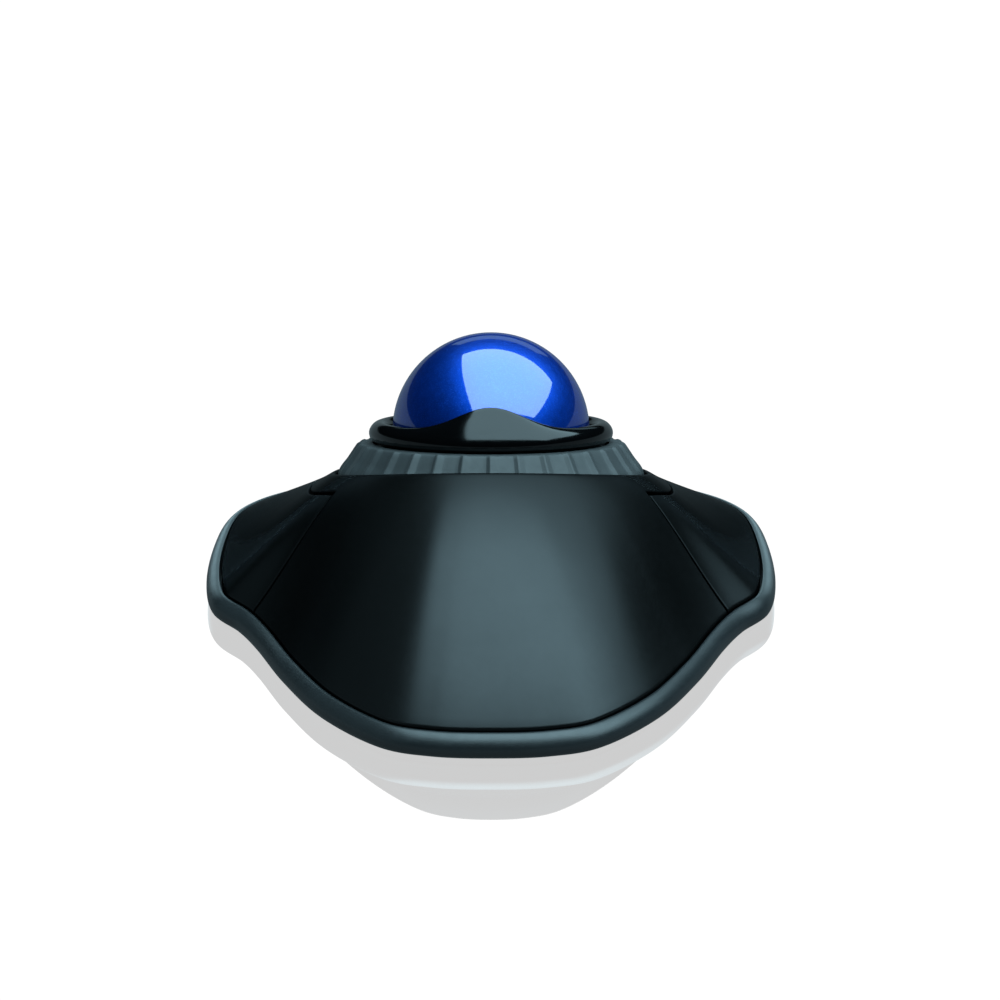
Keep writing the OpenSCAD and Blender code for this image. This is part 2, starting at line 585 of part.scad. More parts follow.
module cable_gland() color("#17181a") difference() {
    translate([0, body_d / 2 - gland_l, 0]) {
        translate([0, 0, gland_z]) rotate([-90, 0, 0]) cylinder(r = gland_r, h = gland_l);
        translate([-gland_r, 0, floor_top]) cube([2 * gland_r, gland_l, gland_z - floor_top]);
    }
    translate([0, body_d / 2 - 1 - gland_l, gland_z]) rotate([-90, 0, 0])
        cylinder(r = cable_d / 2 + 0.05, h = gland_l + 2);
    translate([-gland_r, body_d / 2 - 2 * gland_l, 0]) cube([2 * gland_r, 3 * gland_l, floor_top]);
}

module case_screws() color(steel) for (p = SHELL_POSTS)
    translate([p[0], p[1], bearing_z]) screw(screw_r, screw_head_r, screw_head_h, 7);
module frame_screws() color(steel) for (p = LEGS) translate([p[0], p[1], bearing_z])
    screw(screw_r, screw_head_r, screw_head_h, 6);
module small_screw() rotate([180, 0, 0]) screw(small_r, small_head_r, small_head_h, 4);
module board_screws() color(steel) {
    for (p = BOARD_POSTS) translate([p[0], p[1], board_top]) small_screw();
    at_sensor() for (x = [-sensor_screw_x, sensor_screw_x])
        translate([x, 0, sensor_board_z + 1.6]) small_screw();
    at_ball() for (x = [-1, 1]) translate([x * encoder_screw[0], encoder_screw[1],
        encoder_z - 1.2]) rotate([180, 0, 0]) small_screw();
    at_ball() for (w = THIRDS) rotate(w) translate([cup_screw_r, 0, frame_top - frame_t])
        screw(small_r, small_head_r, small_head_h, 2.6);
}
module rubber_feet() color("#26282a") for (p = FEET) translate([p[0], p[1], 0])
    cylinder(r = foot_r, h = foot_t);

base_plate();
rim_band();
top_shell();
left_button();
right_button();
left_pivot_pin();
right_pivot_pin();
inner_frame();
ball_cup();
support_bearings();
ball();
ball_bezel();
scroll_ring_grip();
scroll_ring_carrier();
ring_emitter();
ring_detector();
ring_encoder_board();
sensor_board();
sensor_chip();
sensor_lens();
sensor_led();
main_board();
microcontroller();
crystal();
capacitors();
cable_header();
left_switch_board();
right_switch_board();
left_switch_body();
right_switch_body();
left_switch_plunger();
right_switch_plunger();
cable_gland();
case_screws();
frame_screws();
board_screws();
rubber_feet();
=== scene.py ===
import json
import math

import bmesh
import bpy
import numpy as np
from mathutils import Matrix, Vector
from mathutils.kdtree import KDTree


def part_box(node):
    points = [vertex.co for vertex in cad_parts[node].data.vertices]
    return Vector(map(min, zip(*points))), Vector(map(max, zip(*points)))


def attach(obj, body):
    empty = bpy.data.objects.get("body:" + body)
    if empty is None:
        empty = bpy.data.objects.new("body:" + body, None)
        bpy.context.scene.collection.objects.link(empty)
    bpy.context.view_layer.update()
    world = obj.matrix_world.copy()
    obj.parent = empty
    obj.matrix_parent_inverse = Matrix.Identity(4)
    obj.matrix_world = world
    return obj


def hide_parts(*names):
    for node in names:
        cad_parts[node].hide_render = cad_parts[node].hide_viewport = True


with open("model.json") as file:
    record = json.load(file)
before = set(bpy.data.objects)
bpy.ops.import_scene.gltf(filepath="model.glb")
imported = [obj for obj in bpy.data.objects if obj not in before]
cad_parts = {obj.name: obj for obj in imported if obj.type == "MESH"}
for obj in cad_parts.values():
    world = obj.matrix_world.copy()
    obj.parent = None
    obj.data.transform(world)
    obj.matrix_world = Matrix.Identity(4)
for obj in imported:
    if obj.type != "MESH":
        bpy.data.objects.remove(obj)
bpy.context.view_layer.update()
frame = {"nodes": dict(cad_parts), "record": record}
MM = 0.001

# ---------------------------------------------------------------- sizes from the frame

ball_lo, ball_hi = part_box("ball")
BALL = np.array((ball_lo + ball_hi) / 2) / MM
BALL_R = (ball_hi.z - ball_lo.z) / 2 / MM
rim_lo, rim_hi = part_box("rim_band")
BODY_D = (rim_hi.y - rim_lo.y) / MM
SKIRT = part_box("top_shell")[0].z / MM            # the lowest edge of the palm shell
BUTTON_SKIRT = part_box("right_button")[0].z / MM  # and of the buttons
gland_lo, gland_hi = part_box("cable_gland")

# ---------------------------------------------------------------- sizes kept from the CAD model
# Lengths are in millimetres. Bearings are in degrees: 0 = front, 90 = right.

TILT = math.radians(19)             # the scroll ring's axis leans back from upright
AXIS = np.array([0, math.sin(TILT), math.cos(TILT)])

RIM_H = 6.3                         # height at which the skin starts
RIM_W = 2.7                         # width of the rim band
RIM_GAP = 0.45                      # between the rim band and the skin
SHELL_T = 2.4                       # wall of the palm shell
BUTTON_T = 1.6                      # wall of the buttons
WELL_R = 31.6                       # radius of the well that holds ring and ball
WELL_H = -8.4                       # the well's mouth at the back, from the ball's centre
WELL_FLOOR = -13.0                  # the foot of its wall
CREST = 4.0                         # how much higher the mouth is at the front
CREST_SIDE = 0.3                    # and at the sides
CREST_POWER = 1.2
COLLAR_R = 36.6                     # the palm shell's collar round the well, inside the buttons
COLLAR_GAP = 0.55                   # between the collar and the buttons
COLLAR_DIP = 1.3                    # the collar narrows by this near the seams
COLLAR_DIP_W = 10.0                 # width of that dip, as a bearing
LOFT_AHEAD = 2.73                   # the skin's lines meet this far in front of the ball
SEAM = 60.5                         # bearing of the seams between palm and buttons
SPINE = 10.0                        # half-width of the strip between the buttons, as a bearing
HALF_GAP = 0.25                     # half-width of a seam, as a bearing
SLOPE_OUT = (1.15, 0.8, 0.2)        # slope of the skin at the rim: front, side and back
SLOPE_IN = (0.3, 0.7, 0.4)          # and at the well's mouth
# Half the outline in plan, from front to back: x, and y as a share of the body's depth.
HALF_PLAN = [(0, -0.5), (11, -0.4943), (21, -0.4667), (32, -0.3805), (40, -0.2724),
             (46, -0.1667), (50.2, -0.1057), (55.9, -0.0447), (58, 0.0488), (57.9, 0.1626),
             (56, 0.2602), (51, 0.3252), (42, 0.378), (30, 0.435), (15, 0.4821), (0, 0.5)]
PLAN_STEPS = 12                     # points between two knots of the outline


def catmull(a, b, c, d, t):
    """A point between b and c on the Catmull-Rom curve through a, b, c and d."""
    return 0.5 * (2 * b + (c - a) * t + (2 * a - 5 * b + 4 * c - d) * t * t
                  + (3 * b - a - 3 * c + d) * t ** 3)


def closed_curve(knots, steps):
    """A smooth closed line through the knots."""
    n = len(knots)
    return np.array([catmull(knots[i - 1], knots[i], knots[(i + 1) % n], knots[(i + 2) % n],
                             k / steps) for i in range(n) for k in range(steps)])


def open_curve(knots, steps):
    """A smooth line through the knots, from the first to the last."""
    knots = [np.array(p, float) for p in knots]
    line = []
    for i in range(len(knots) - 1):
        before, after = knots[max(i - 1, 0)], knots[min(i + 2, len(knots) - 1)]
        line += [catmull(before, knots[i], knots[i + 1], after, k / steps) for k in range(steps)]
    return line + [knots[-1]]


def plan_knots():
    """The whole outline's knots, anticlockwise from the front, from its right half."""
    half = [np.array([x, y * BODY_D]) for x, y in HALF_PLAN]
    return half + [p * [-1, 1] for p in half[-2:0:-1]]


OUTLINE = closed_curve(plan_knots(), PLAN_STEPS)


def inset(curve, d):
    """The closed curve moved inwards by d."""
    t = np.roll(curve, -1, 0) - np.roll(curve, 1, 0)
    t /= np.linalg.norm(t, axis=1)[:, None]
    return curve - d * np.stack([t[:, 1], -t[:, 0]], 1)


LOFT_C = np.array([0, BALL[1] - LOFT_AHEAD])
SKIN_EDGE = inset(OUTLINE, RIM_W + RIM_GAP)


def edge_at(w):
    """Where lines from LOFT_C at bearings w cross the skin's edge (0 = front, 90 = right)."""
    w = np.radians(np.atleast_1d(w))
    u = np.stack([np.sin(w), -np.cos(w)], 1)
    p = SKIN_EDGE - LOFT_C
    q = np.roll(p, -1, 0)
    s = u[:, None, 0] * p[None, :, 1] - u[:, None, 1] * p[None, :, 0]
    t = u[:, None, 0] * q[None, :, 1] - u[:, None, 1] * q[None, :, 0]
    ahead = (u[:, None, :] * p[None, :, :]).sum(2) > 0
    hit = np.argmax((s <= 0) & (t > 0) & ahead, axis=1)
    i = np.arange(len(w))
    f = (s[i, hit] / (t[i, hit] - s[i, hit]))[:, None]
    return LOFT_C + p[hit] - (q[hit] - p[hit]) * f


def blend3(s, f):
    """A quadratic in s that is f[0] at s = 1, f[1] at 0 and f[2] at -1."""
    return f[1] + (f[0] - f[2]) / 2 * s + ((f[0] + f[2]) / 2 - f[1]) * s * s


def tilted(r, p, h):
    """A point at radius r, bearing p (radians) and height h in the tilted frame round the ball."""
    ct, st = math.cos(TILT), math.sin(TILT)
    return BALL + np.stack([r * np.sin(p), -r * np.cos(p) * ct + h * st,
                            r * np.cos(p) * st + h * ct], -1)


def tilted_r(q):
    """The distance of points q from the tilted axis through the ball."""
    d = q - BALL
    h = d @ AXIS
    return np.sqrt(np.maximum((d * d).sum(-1) - h * h, 0))


def mouth(w):
    """The rim of the well at bearings w, where the skin ends."""
    b = np.radians(w)
    s = np.cos(b)
    front = (CREST - CREST_SIDE) * np.maximum(s, 0) ** CREST_POWER
    h = WELL_H + CREST_SIDE + np.where(s > 0, front, CREST_SIDE * s)
    return tilted(WELL_R, np.arctan2(np.sin(b), np.cos(b) / math.cos(TILT)), h)


def skin(w, v):
    """The lofted surface at bearings w and parameters v: 0 at the rim, 1 at the well's mouth."""
    w, v = np.broadcast_arrays(np.asarray(w, float), np.asarray(v, float))
    flat = w.ravel()
    known, back = np.unique(flat, return_inverse=True)
    g = edge_at(known)[back].reshape(w.shape + (2,))
    m = mouth(known)[back].reshape(w.shape + (3,))
    s = np.cos(np.radians(w))
    run = np.linalg.norm(m[..., :2] - g, axis=-1)
    a, b = blend3(s, SLOPE_OUT) * run, blend3(s, SLOPE_IN) * run
    z = ((2 * v ** 3 - 3 * v * v + 1) * RIM_H + (v ** 3 - 2 * v * v + v) * a
         + (3 * v * v - 2 * v ** 3) * m[..., 2] + (v ** 3 - v * v) * b)
    return np.concatenate([g + (m[..., :2] - g) * v[..., None], z[..., None]], -1)


def unit(a):
    """The vectors a, each made one long."""
    return a / np.maximum(np.linalg.norm(a, axis=-1, keepdims=True), 1e-12)


def skin_normal(w, v):
    """The skin's outward normals."""
    e = 0.02                        # step in v; the step in bearing is 0.3 degrees
    dv = skin(w, v + e) - skin(w, v - e)
    dw = skin(w + 0.3, v) - skin(w - 0.3, v)
    return unit(np.cross(dw, dv))


def collar_at(w):
    """The collar's outer radius at bearings w."""
    return COLLAR_R - COLLAR_DIP * np.exp(-((np.abs(w) - SEAM) / COLLAR_DIP_W) ** 2)


def v_at_r(w, r):
    """The parameter at which the skin, going in along bearing w, reaches radius r, by halving."""
    lo, hi = np.full(len(w), 0.3), np.ones(len(w))
    for _ in range(24):
        mid = (lo + hi) / 2
        out = tilted_r(skin(w, mid)) > r
        lo, hi = np.where(out, mid, lo), np.where(out, hi, mid)
    return (lo + hi) / 2


# ---------------------------------------------------------------- mesh helpers

WELD = 2e-6                         # in metres: points nearer than this become one


def build(name, verts, faces, body, slot, replaces=(), sharp=38):
    """A smooth-shaded mesh object from millimetre points, riding on its body."""
    mesh = bpy.data.meshes.new(name)
    mesh.from_pydata([tuple(float(c) * MM for c in p) for p in verts], [],
                     [tuple(int(i) for i in f) for f in faces])
    bm = bmesh.new()
    bm.from_mesh(mesh)
    bmesh.ops.remove_doubles(bm, verts=bm.verts, dist=WELD)
    bmesh.ops.dissolve_degenerate(bm, edges=bm.edges, dist=WELD / 2)
    loose = [v for v in bm.verts if not v.link_faces]
    bmesh.ops.delete(bm, geom=loose, context="VERTS")
    bmesh.ops.recalc_face_normals(bm, faces=bm.faces)
    bm.to_mesh(mesh)
    bm.free()
    mesh.shade_smooth()
    mesh.set_sharp_from_angle(angle=math.radians(sharp))
    obj = bpy.data.objects.new(name, mesh)
    bpy.context.scene.collection.objects.link(obj)
    mesh.materials.append(MATERIALS[slot])
    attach(obj, body)
    if replaces:
        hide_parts(*replaces)
    return obj


def loops(rows):
    """Quads between rows of points; each row is closed, and so is the set of rows."""
    n, m = len(rows[0]), len(rows)
    verts = [p for r in rows for p in r]
    faces = [(k * n + j, k * n + (j + 1) % n, (k + 1) % m * n + (j + 1) % n, (k + 1) % m * n + j)
             for k in range(m) for j in range(n)]
    return verts, faces


def lathe(profile, steps, place):
    """Turns (r, z) points round the z axis; place maps each point to its position."""
    rows = []
    for r, z in profile:
        rows.append([place(np.array([r * math.cos(a), r * math.sin(a), z]))
                     for a in np.linspace(0, 2 * math.pi, steps, endpoint=False)])
    return loops(rows)


FILLET = 0.24                       # rounding of the edges along the gaps
CLUSTER = (0, 0.03, 0.08, 0.15, 0.25, 0.45)  # distances from a gap that get a line of points
RHO = 46.0                          # mean radius that turns those distances into bearings
EDGE_FILLET = 0.4                   # rounding where the skin meets its skirt
LIP_ROUNDING = 1.7                  # how far before the mouth the collar starts to roll over
LIP_DROP = 1.2                      # and how far down the well's wall that roll ends
NOTCH_SHARE = 0.4                   # share of the skin, from the rim up, that the cable cuts
INNER_RUN = 0.15                    # where the wall's inner side leaves its corner
# rows of points in each stretch of the wall
EDGE_ROWS, LOW_ROWS, HIGH_ROWS, COLLAR_ROWS, LIP_ROWS = 7, 15, 28, 6, 10


def spread(a, b, n, ends=(True, True)):
    """Bearings from a to b, close together near the ends that carry a fillet."""
    near = np.degrees(np.array(CLUSTER) / RHO)
    lo = a + near if ends[0] else np.array([a])
    hi = b - near[::-1] if ends[1] else np.array([b])
    return np.concatenate([lo, np.linspace(lo[-1], hi[0], n + 1)[1:-1], hi])


def skin_rows(w, skirt_z, well):
    """Outer and inner points of the wall along the lines at bearings w, with a tag for each row.

    The rows run from the skirt up the skin to the gap round the collar and, with well, on over
    the collar and down the well's wall. The arrays are [row][column].
    """
    w = np.asarray(w, float)
    v1 = v_at_r(w, collar_at(w) + COLLAR_GAP)
    v2 = v_at_r(w, collar_at(w))
    t = SHELL_T if well else BUTTON_T

    def step_v(v, d):
        speed = np.linalg.norm(skin(w, v + 0.01) - skin(w, v - 0.01), axis=-1) / 0.02
        return v + d / speed

    outer, inner, tags = [], [], []
    # n1 and n2 are the normals of skirt and skin at the edge, n3 and n4 those of skin and wall
    # at the lip; corner and lip_in are where the inner sides of the two walls meet.
    edge = skin(w, 0 * w)
    tangent = edge_at(w + 0.2) - edge_at(w - 0.2)
    n1 = unit(np.stack([tangent[:, 1], -tangent[:, 0], 0 * w], -1))
    n2 = skin_normal(w, 0 * w)
    corner = edge - 2 * t * (n1 + n2) / ((n1 + n2) ** 2).sum(-1)[:, None]
    n3 = skin_normal(w, 0 * w + 1)
    lip = skin(w, 0 * w + 1)
    along = mouth(w + 0.3) - mouth(w - 0.3)
    n4 = unit(np.cross(along, -AXIS))
    n4 *= np.sign((n4 * (BALL - lip)).sum(-1))[:, None]
    lip_in = lip - 2 * t * (n3 + n4) / ((n3 + n4) ** 2).sum(-1)[:, None]

    def add(p, q, tag):
        outer.append(p)
        inner.append(q)
        tags.append(tag)

    def flat(z):
        return np.stack([edge[:, 0], edge[:, 1], 0 * w + z], -1)

    add(flat(skirt_z), flat(skirt_z) - t * n1, "skirt")
    v0 = step_v(0 * w, EDGE_FILLET)
    start, end = flat(RIM_H - EDGE_FILLET), skin(w, v0)
    for s in np.linspace(0, 1, EDGE_ROWS):
        add((1 - s) ** 2 * start + 2 * s * (1 - s) * edge + s * s * end, corner, "edge")
    inward = unit(skin(w, 0 * w + 0.03) - edge)

    def surface(v, tag):
        p = skin(w, v)
        q = p - t * skin_normal(w, v)
        # near the rim the inner side stays at its corner, so that it doesn't fold over
        short = ((q - corner) * inward).sum(-1) < INNER_RUN
        q = np.where(short[:, None], corner, q)
        add(p, q, tag)

    notch = NOTCH_SHARE * v1
    for s in np.linspace(0, 1, LOW_ROWS)[1:]:
        surface(v0 + (notch - v0) * s, "low")
    tail = [step_v(v1, -d) for d in CLUSTER[::-1]]
    for s in np.linspace(0, 1, HIGH_ROWS)[1:-1]:
        surface(notch + (tail[0] - notch) * s, "high")
    for v in tail:
        surface(v, "high")
    tags[-1] = "gap"
    if not well:
        return np.array(outer), np.array(inner), tags
    head = [step_v(v2, d) for d in CLUSTER]
    last = step_v(0 * w + 1, -LIP_ROUNDING)
    q2 = skin(w, v2) - t * skin_normal(w, v2)
    collar = head + [head[-1] + (last - head[-1]) * s
                     for s in np.linspace(0, 1, COLLAR_ROWS)[1:]]
    for v in collar:
        s = ((v - v2) / (1 - v2))[:, None]
        add(skin(w, v), q2 * (1 - s) + lip_in * s, "collar")
    start, end = skin(w, last), lip - LIP_DROP * AXIS
    for s in np.linspace(0, 1, LIP_ROWS)[1:]:
        add((1 - s) ** 2 * start + 2 * s * (1 - s) * lip + s * s * end, lip_in, "lip")
    h_lip = (lip - BALL) @ AXIS
    foot = lip + (WELL_FLOOR - h_lip)[:, None] * AXIS
    add(foot, foot - t * n4, "wall")
    return np.array(outer), np.array(inner), tags


def grid_shell(outer, inner, keep, wrap, free_rows):
    """A closed wall from the cells of the outer and inner grids that keep says to keep.

    With wrap the last column joins the first. Open edges are rounded over on the outer side,
    but for those along free_rows.
    """
    nr, nc = outer.shape[:2]
    cols = nc if wrap else nc - 1

    def kept(i, j):
        if i < 0 or i > nr - 2:
            return False
        if wrap:
            return bool(keep[i][j % nc])
        return 0 <= j < cols and bool(keep[i][j])

    down = np.concatenate([outer[1:], outer[-1:]]) - np.concatenate([outer[:1], outer[:-1]])
    if wrap:
        side = np.roll(outer, -1, 1) - np.roll(outer, 1, 1)
    else:
        side = (np.concatenate([outer[:, 1:], outer[:, -1:]], 1)
                - np.concatenate([outer[:, :1], outer[:, :-1]], 1))
    normal = unit(np.cross(side, down))
    rim_pts = []
    faces, o = [], nr * nc
    for i in range(nr - 1):
        for j in range(cols):
            if not kept(i, j):
                continue
            j2 = (j + 1) % nc
            a, b, c, d = i * nc + j, i * nc + j2, (i + 1) * nc + j2, (i + 1) * nc + j
            faces += [(a, b, c, d), (a + o, d + o, c + o, b + o)]
            for there, p, q, rows in ((kept(i - 1, j), a, b, (i, i)), (kept(i, j + 1), b, c, None),
                                      (kept(i + 1, j), c, d, (i + 1, i + 1)),
                                      (kept(i, j - 1), d, a, None)):
                if not there:
                    faces.append((q, p, p + o, q + o))
                    if rows is None or rows[0] not in free_rows:
                        rim_pts.append((p, q))
    flat = outer.reshape(-1, 3).copy()
    tree_pts = []
    for p, q in rim_pts:
        a, b = flat[p], flat[q]
        n = max(int(np.linalg.norm(b - a) / 0.05), 1)
        tree_pts += [a + (b - a) * k / n for k in range(n + 1)]
    tree = KDTree(len(tree_pts))
    for i, p in enumerate(tree_pts):
        tree.insert(Vector(p), i)
    tree.balance()
    nflat = normal.reshape(-1, 3)
    moved = flat.copy()
    for i, p in enumerate(flat):
        d = tree.find(Vector(p))[2]
        if d < FILLET:
            moved[i] = p - nflat[i] * (FILLET - math.sqrt(FILLET ** 2 - (FILLET - d) ** 2))
    return list(moved) + list(inner.reshape(-1, 3)), faces


# ---------------------------------------------------------------- materials

def material(name, color, rough, metallic=0.0, spec=0.5, tint=None, coat=0.0, coat_rough=0.03,
             coat_ior=1.5, ior=1.5, sheen=0.0, grain=(6000, 0.25, 0.00001), mottle=(90, 0.06),
             rough_var=(700, 0.04), fleck=None, streak=None, transmission=0.0):
    """A Principled surface with colour mottling, roughness variation and a fine moulded grain.

    grain is (scale, strength, depth in metres); mottle and rough_var are (scale, amount);
    fleck is (scale, colour, share); streak scales the wear and the grain along each axis.
    """
    mat = bpy.data.materials.new(name)
    mat.use_nodes = True
    nt = mat.node_tree
    nt.nodes.clear()
    new = nt.nodes.new
    link = nt.links.new
    out = new("ShaderNodeOutputMaterial")
    p = new("ShaderNodeBsdfPrincipled")
    link(p.outputs["BSDF"], out.inputs["Surface"])
    p.inputs["Metallic"].default_value = metallic
    p.inputs["IOR"].default_value = ior
    p.inputs["Specular IOR Level"].default_value = spec
    if tint:
        p.inputs["Specular Tint"].default_value = (*tint, 1)
    p.inputs["Coat Weight"].default_value = coat
    p.inputs["Coat Roughness"].default_value = coat_rough
    p.inputs["Coat IOR"].default_value = coat_ior
    p.inputs["Sheen Weight"].default_value = sheen
    p.inputs["Sheen Roughness"].default_value = 0.4
    p.inputs["Transmission Weight"].default_value = transmission
    coord = new("ShaderNodeTexCoord")

    def noise(scale, detail=2.0, stretch=None):
        n = new("ShaderNodeTexNoise")
        n.inputs["Scale"].default_value = scale
        n.inputs["Detail"].default_value = detail
        n.inputs["Roughness"].default_value = 0.55
        if stretch:
            m = new("ShaderNodeMapping")
            m.inputs["Scale"].default_value = stretch
            link(coord.outputs["Object"], m.inputs["Vector"])
            link(m.outputs["Vector"], n.inputs["Vector"])
        else:
            link(coord.outputs["Object"], n.inputs["Vector"])
        return n

    def ranged(source, lo, hi):
        m = new("ShaderNodeMapRange")
        m.inputs["From Min"].default_value = 0.25
        m.inputs["From Max"].default_value = 0.75
        m.inputs["To Min"].default_value = lo
        m.inputs["To Max"].default_value = hi
        link(source, m.inputs["Value"])
        return m.outputs["Result"]

    def mix(factor, a, b):
        m = new("ShaderNodeMix")
        m.data_type = "RGBA"
        link(factor, m.inputs["Factor"])
        for value, socket in ((a, m.inputs[6]), (b, m.inputs[7])):
            if isinstance(value, tuple):
                socket.default_value = (*value, 1)
            else:
                link(value, socket)
        return m.outputs[2]

    scale, amount = mottle
    dark = tuple(c * (1 - amount) for c in color)
    light = tuple(min(c * (1 + amount), 1) for c in color)
    base = mix(ranged(noise(scale, 4).outputs["Fac"], 0, 1), dark, light)
    if fleck:
        size, fleck_color, share = fleck
        v = new("ShaderNodeTexVoronoi")
        v.inputs["Scale"].default_value = size
        link(coord.outputs["Object"], v.inputs["Vector"])
        pick = new("ShaderNodeSeparateColor")
        link(v.outputs["Color"], pick.inputs["Color"])
        cut = new("ShaderNodeMapRange")
        cut.inputs["From Min"].default_value = 1 - share
        cut.inputs["From Max"].default_value = 1.0
        link(pick.outputs["Red"], cut.inputs["Value"])
        base = mix(cut.outputs["Result"], base, fleck_color)
    link(base, p.inputs["Base Color"])
    scale, amount = rough_var
    wear = ranged(noise(scale, 3, streak).outputs["Fac"], max(rough - amount, 0), rough + amount)
    link(wear, p.inputs["Roughness"])
    scale, strength, depth = grain
    bump = new("ShaderNodeBump")
    bump.inputs["Strength"].default_value = strength
    bump.inputs["Distance"].default_value = depth
    link(noise(scale, 2, streak).outputs["Fac"], bump.inputs["Height"])
    link(bump.outputs["Normal"], p.inputs["Normal"])
    return mat


GRAZE = (0.3, 0.3, 0.3)             # dims the shells' reflection at grazing angles
LOOKS = {
    "shell_black": dict(color=(0.042, 0.043, 0.044), rough=0.335, tint=GRAZE, metallic=1.0,
                        grain=(5200, 0.3, 0.000012), mottle=(60, 0.06), rough_var=(900, 0.02)),
    "rim_slate": dict(color=(0.012, 0.015, 0.017), rough=0.36, spec=0.8,
                      grain=(4200, 0.35, 0.00002), mottle=(80, 0.12), rough_var=(600, 0.04)),
    "ring_rubber": dict(color=(0.030, 0.034, 0.036), rough=0.52, grain=(3800, 0.5, 0.00003),
                        mottle=(120, 0.12), rough_var=(500, 0.06), sheen=0.05),
    "bezel_gloss": dict(color=(0.0016, 0.0017, 0.002), rough=0.11, grain=(2600, 0.1, 0.000004),
                        mottle=(40, 0.2), rough_var=(260, 0.03)),
    "ball_pearl": dict(color=(0.0, 0.060, 0.52), rough=0.42, metallic=0.9, coat=1.0,
                       coat_ior=2.0, coat_rough=0.045, grain=(2600, 0.35, 0.00002),
                       mottle=(70, 0.1), rough_var=(900, 0.05),
                       fleck=(6400, (0.01, 0.10, 0.72), 0.3)),
    "case_black": dict(color=(0.010, 0.010, 0.011), rough=0.5, grain=(2600, 0.5, 0.00004),
                       mottle=(70, 0.15), rough_var=(400, 0.08)),
    "steel": dict(color=(0.55, 0.55, 0.57), rough=0.28, metallic=1.0, streak=(1, 1, 14),
                  grain=(900, 0.3, 0.00001), mottle=(200, 0.08), rough_var=(800, 0.1)),
    "bearing_steel": dict(color=(0.72, 0.72, 0.74), rough=0.08, metallic=1.0,
                          grain=(4000, 0.1, 0.000002), mottle=(300, 0.05),
                          rough_var=(900, 0.03)),
    "board_green": dict(color=(0.008, 0.07, 0.022), rough=0.32, coat=0.6, coat_rough=0.1,
                        grain=(1500, 0.3, 0.00002), mottle=(350, 0.35),
                        fleck=(900, (0.03, 0.16, 0.05), 0.12)),
    "chip_black": dict(color=(0.012, 0.012, 0.013), rough=0.55, grain=(3000, 0.4, 0.00002),
                       mottle=(400, 0.15)),
    "lens_clear": dict(color=(0.86, 0.92, 0.95), rough=0.06, transmission=0.9, ior=1.49,
                       grain=(800, 0.1, 0.000004), mottle=(100, 0.04), rough_var=(200, 0.03)),
    "led_red": dict(color=(0.4, 0.012, 0.01), rough=0.15, transmission=0.4,
                    grain=(900, 0.15, 0.000005), mottle=(300, 0.2)),
    "capacitor_sleeve": dict(color=(0.01, 0.02, 0.05), rough=0.3, coat=0.5,
                             grain=(900, 0.3, 0.00002), mottle=(300, 0.2)),
    "connector_ivory": dict(color=(0.62, 0.58, 0.47), rough=0.45, grain=(1800, 0.3, 0.00002),
                            mottle=(200, 0.06)),
    "switch_black": dict(color=(0.011, 0.011, 0.012), rough=0.42, grain=(2400, 0.4, 0.00002),
                         mottle=(300, 0.15)),
    "plunger_ivory": dict(color=(0.60, 0.57, 0.46), rough=0.35, grain=(2400, 0.2, 0.00001),
                          mottle=(300, 0.06)),
    "gland_rubber": dict(color=(0.008, 0.009, 0.010), rough=0.6, sheen=0.1,
                         grain=(2200, 0.5, 0.00004), mottle=(200, 0.2)),
    "foot_rubber": dict(color=(0.014, 0.014, 0.015), rough=0.75, sheen=0.15,
                        grain=(1500, 0.6, 0.00006), mottle=(150, 0.25)),
}
MATERIALS = {name: material(name, **look) for name, look in LOOKS.items()}

# The nodes that no piece replaces keep their CAD shape and wear the material of their slot.
node_slot = {s["node"]: s["material_slot"] for s in frame["record"]["subparts"]}
for node_name, obj in frame["nodes"].items():
    for holder in obj.material_slots:
        holder.material = MATERIALS[node_slot[node_name]]

# ---------------------------------------------------------------- shells

OUTLET_GAP = 0.15                   # round the cable's gland
# columns of cells in each stretch round the body
PALM_STEPS, WING_STEPS, SPINE_STEPS, OUTLET_STEPS = 150, 130, 6, 9
BUTTON_STEPS = 170
# bearings on the right side: where the palm ends, the button starts and ends, the spine starts
palm_edge, wing_start = SEAM - HALF_GAP, SEAM + HALF_GAP
wing_end, spine_edge = 180 - SPINE - HALF_GAP, 180 - SPINE + HALF_GAP
gland_half = (gland_hi.x - gland_lo.x) / 2 / MM + OUTLET_GAP
# half the bearing that the cable's cut takes
outlet = math.degrees(math.atan(gland_half / (BODY_D / 2 - RIM_W - RIM_GAP - LOFT_C[1])))


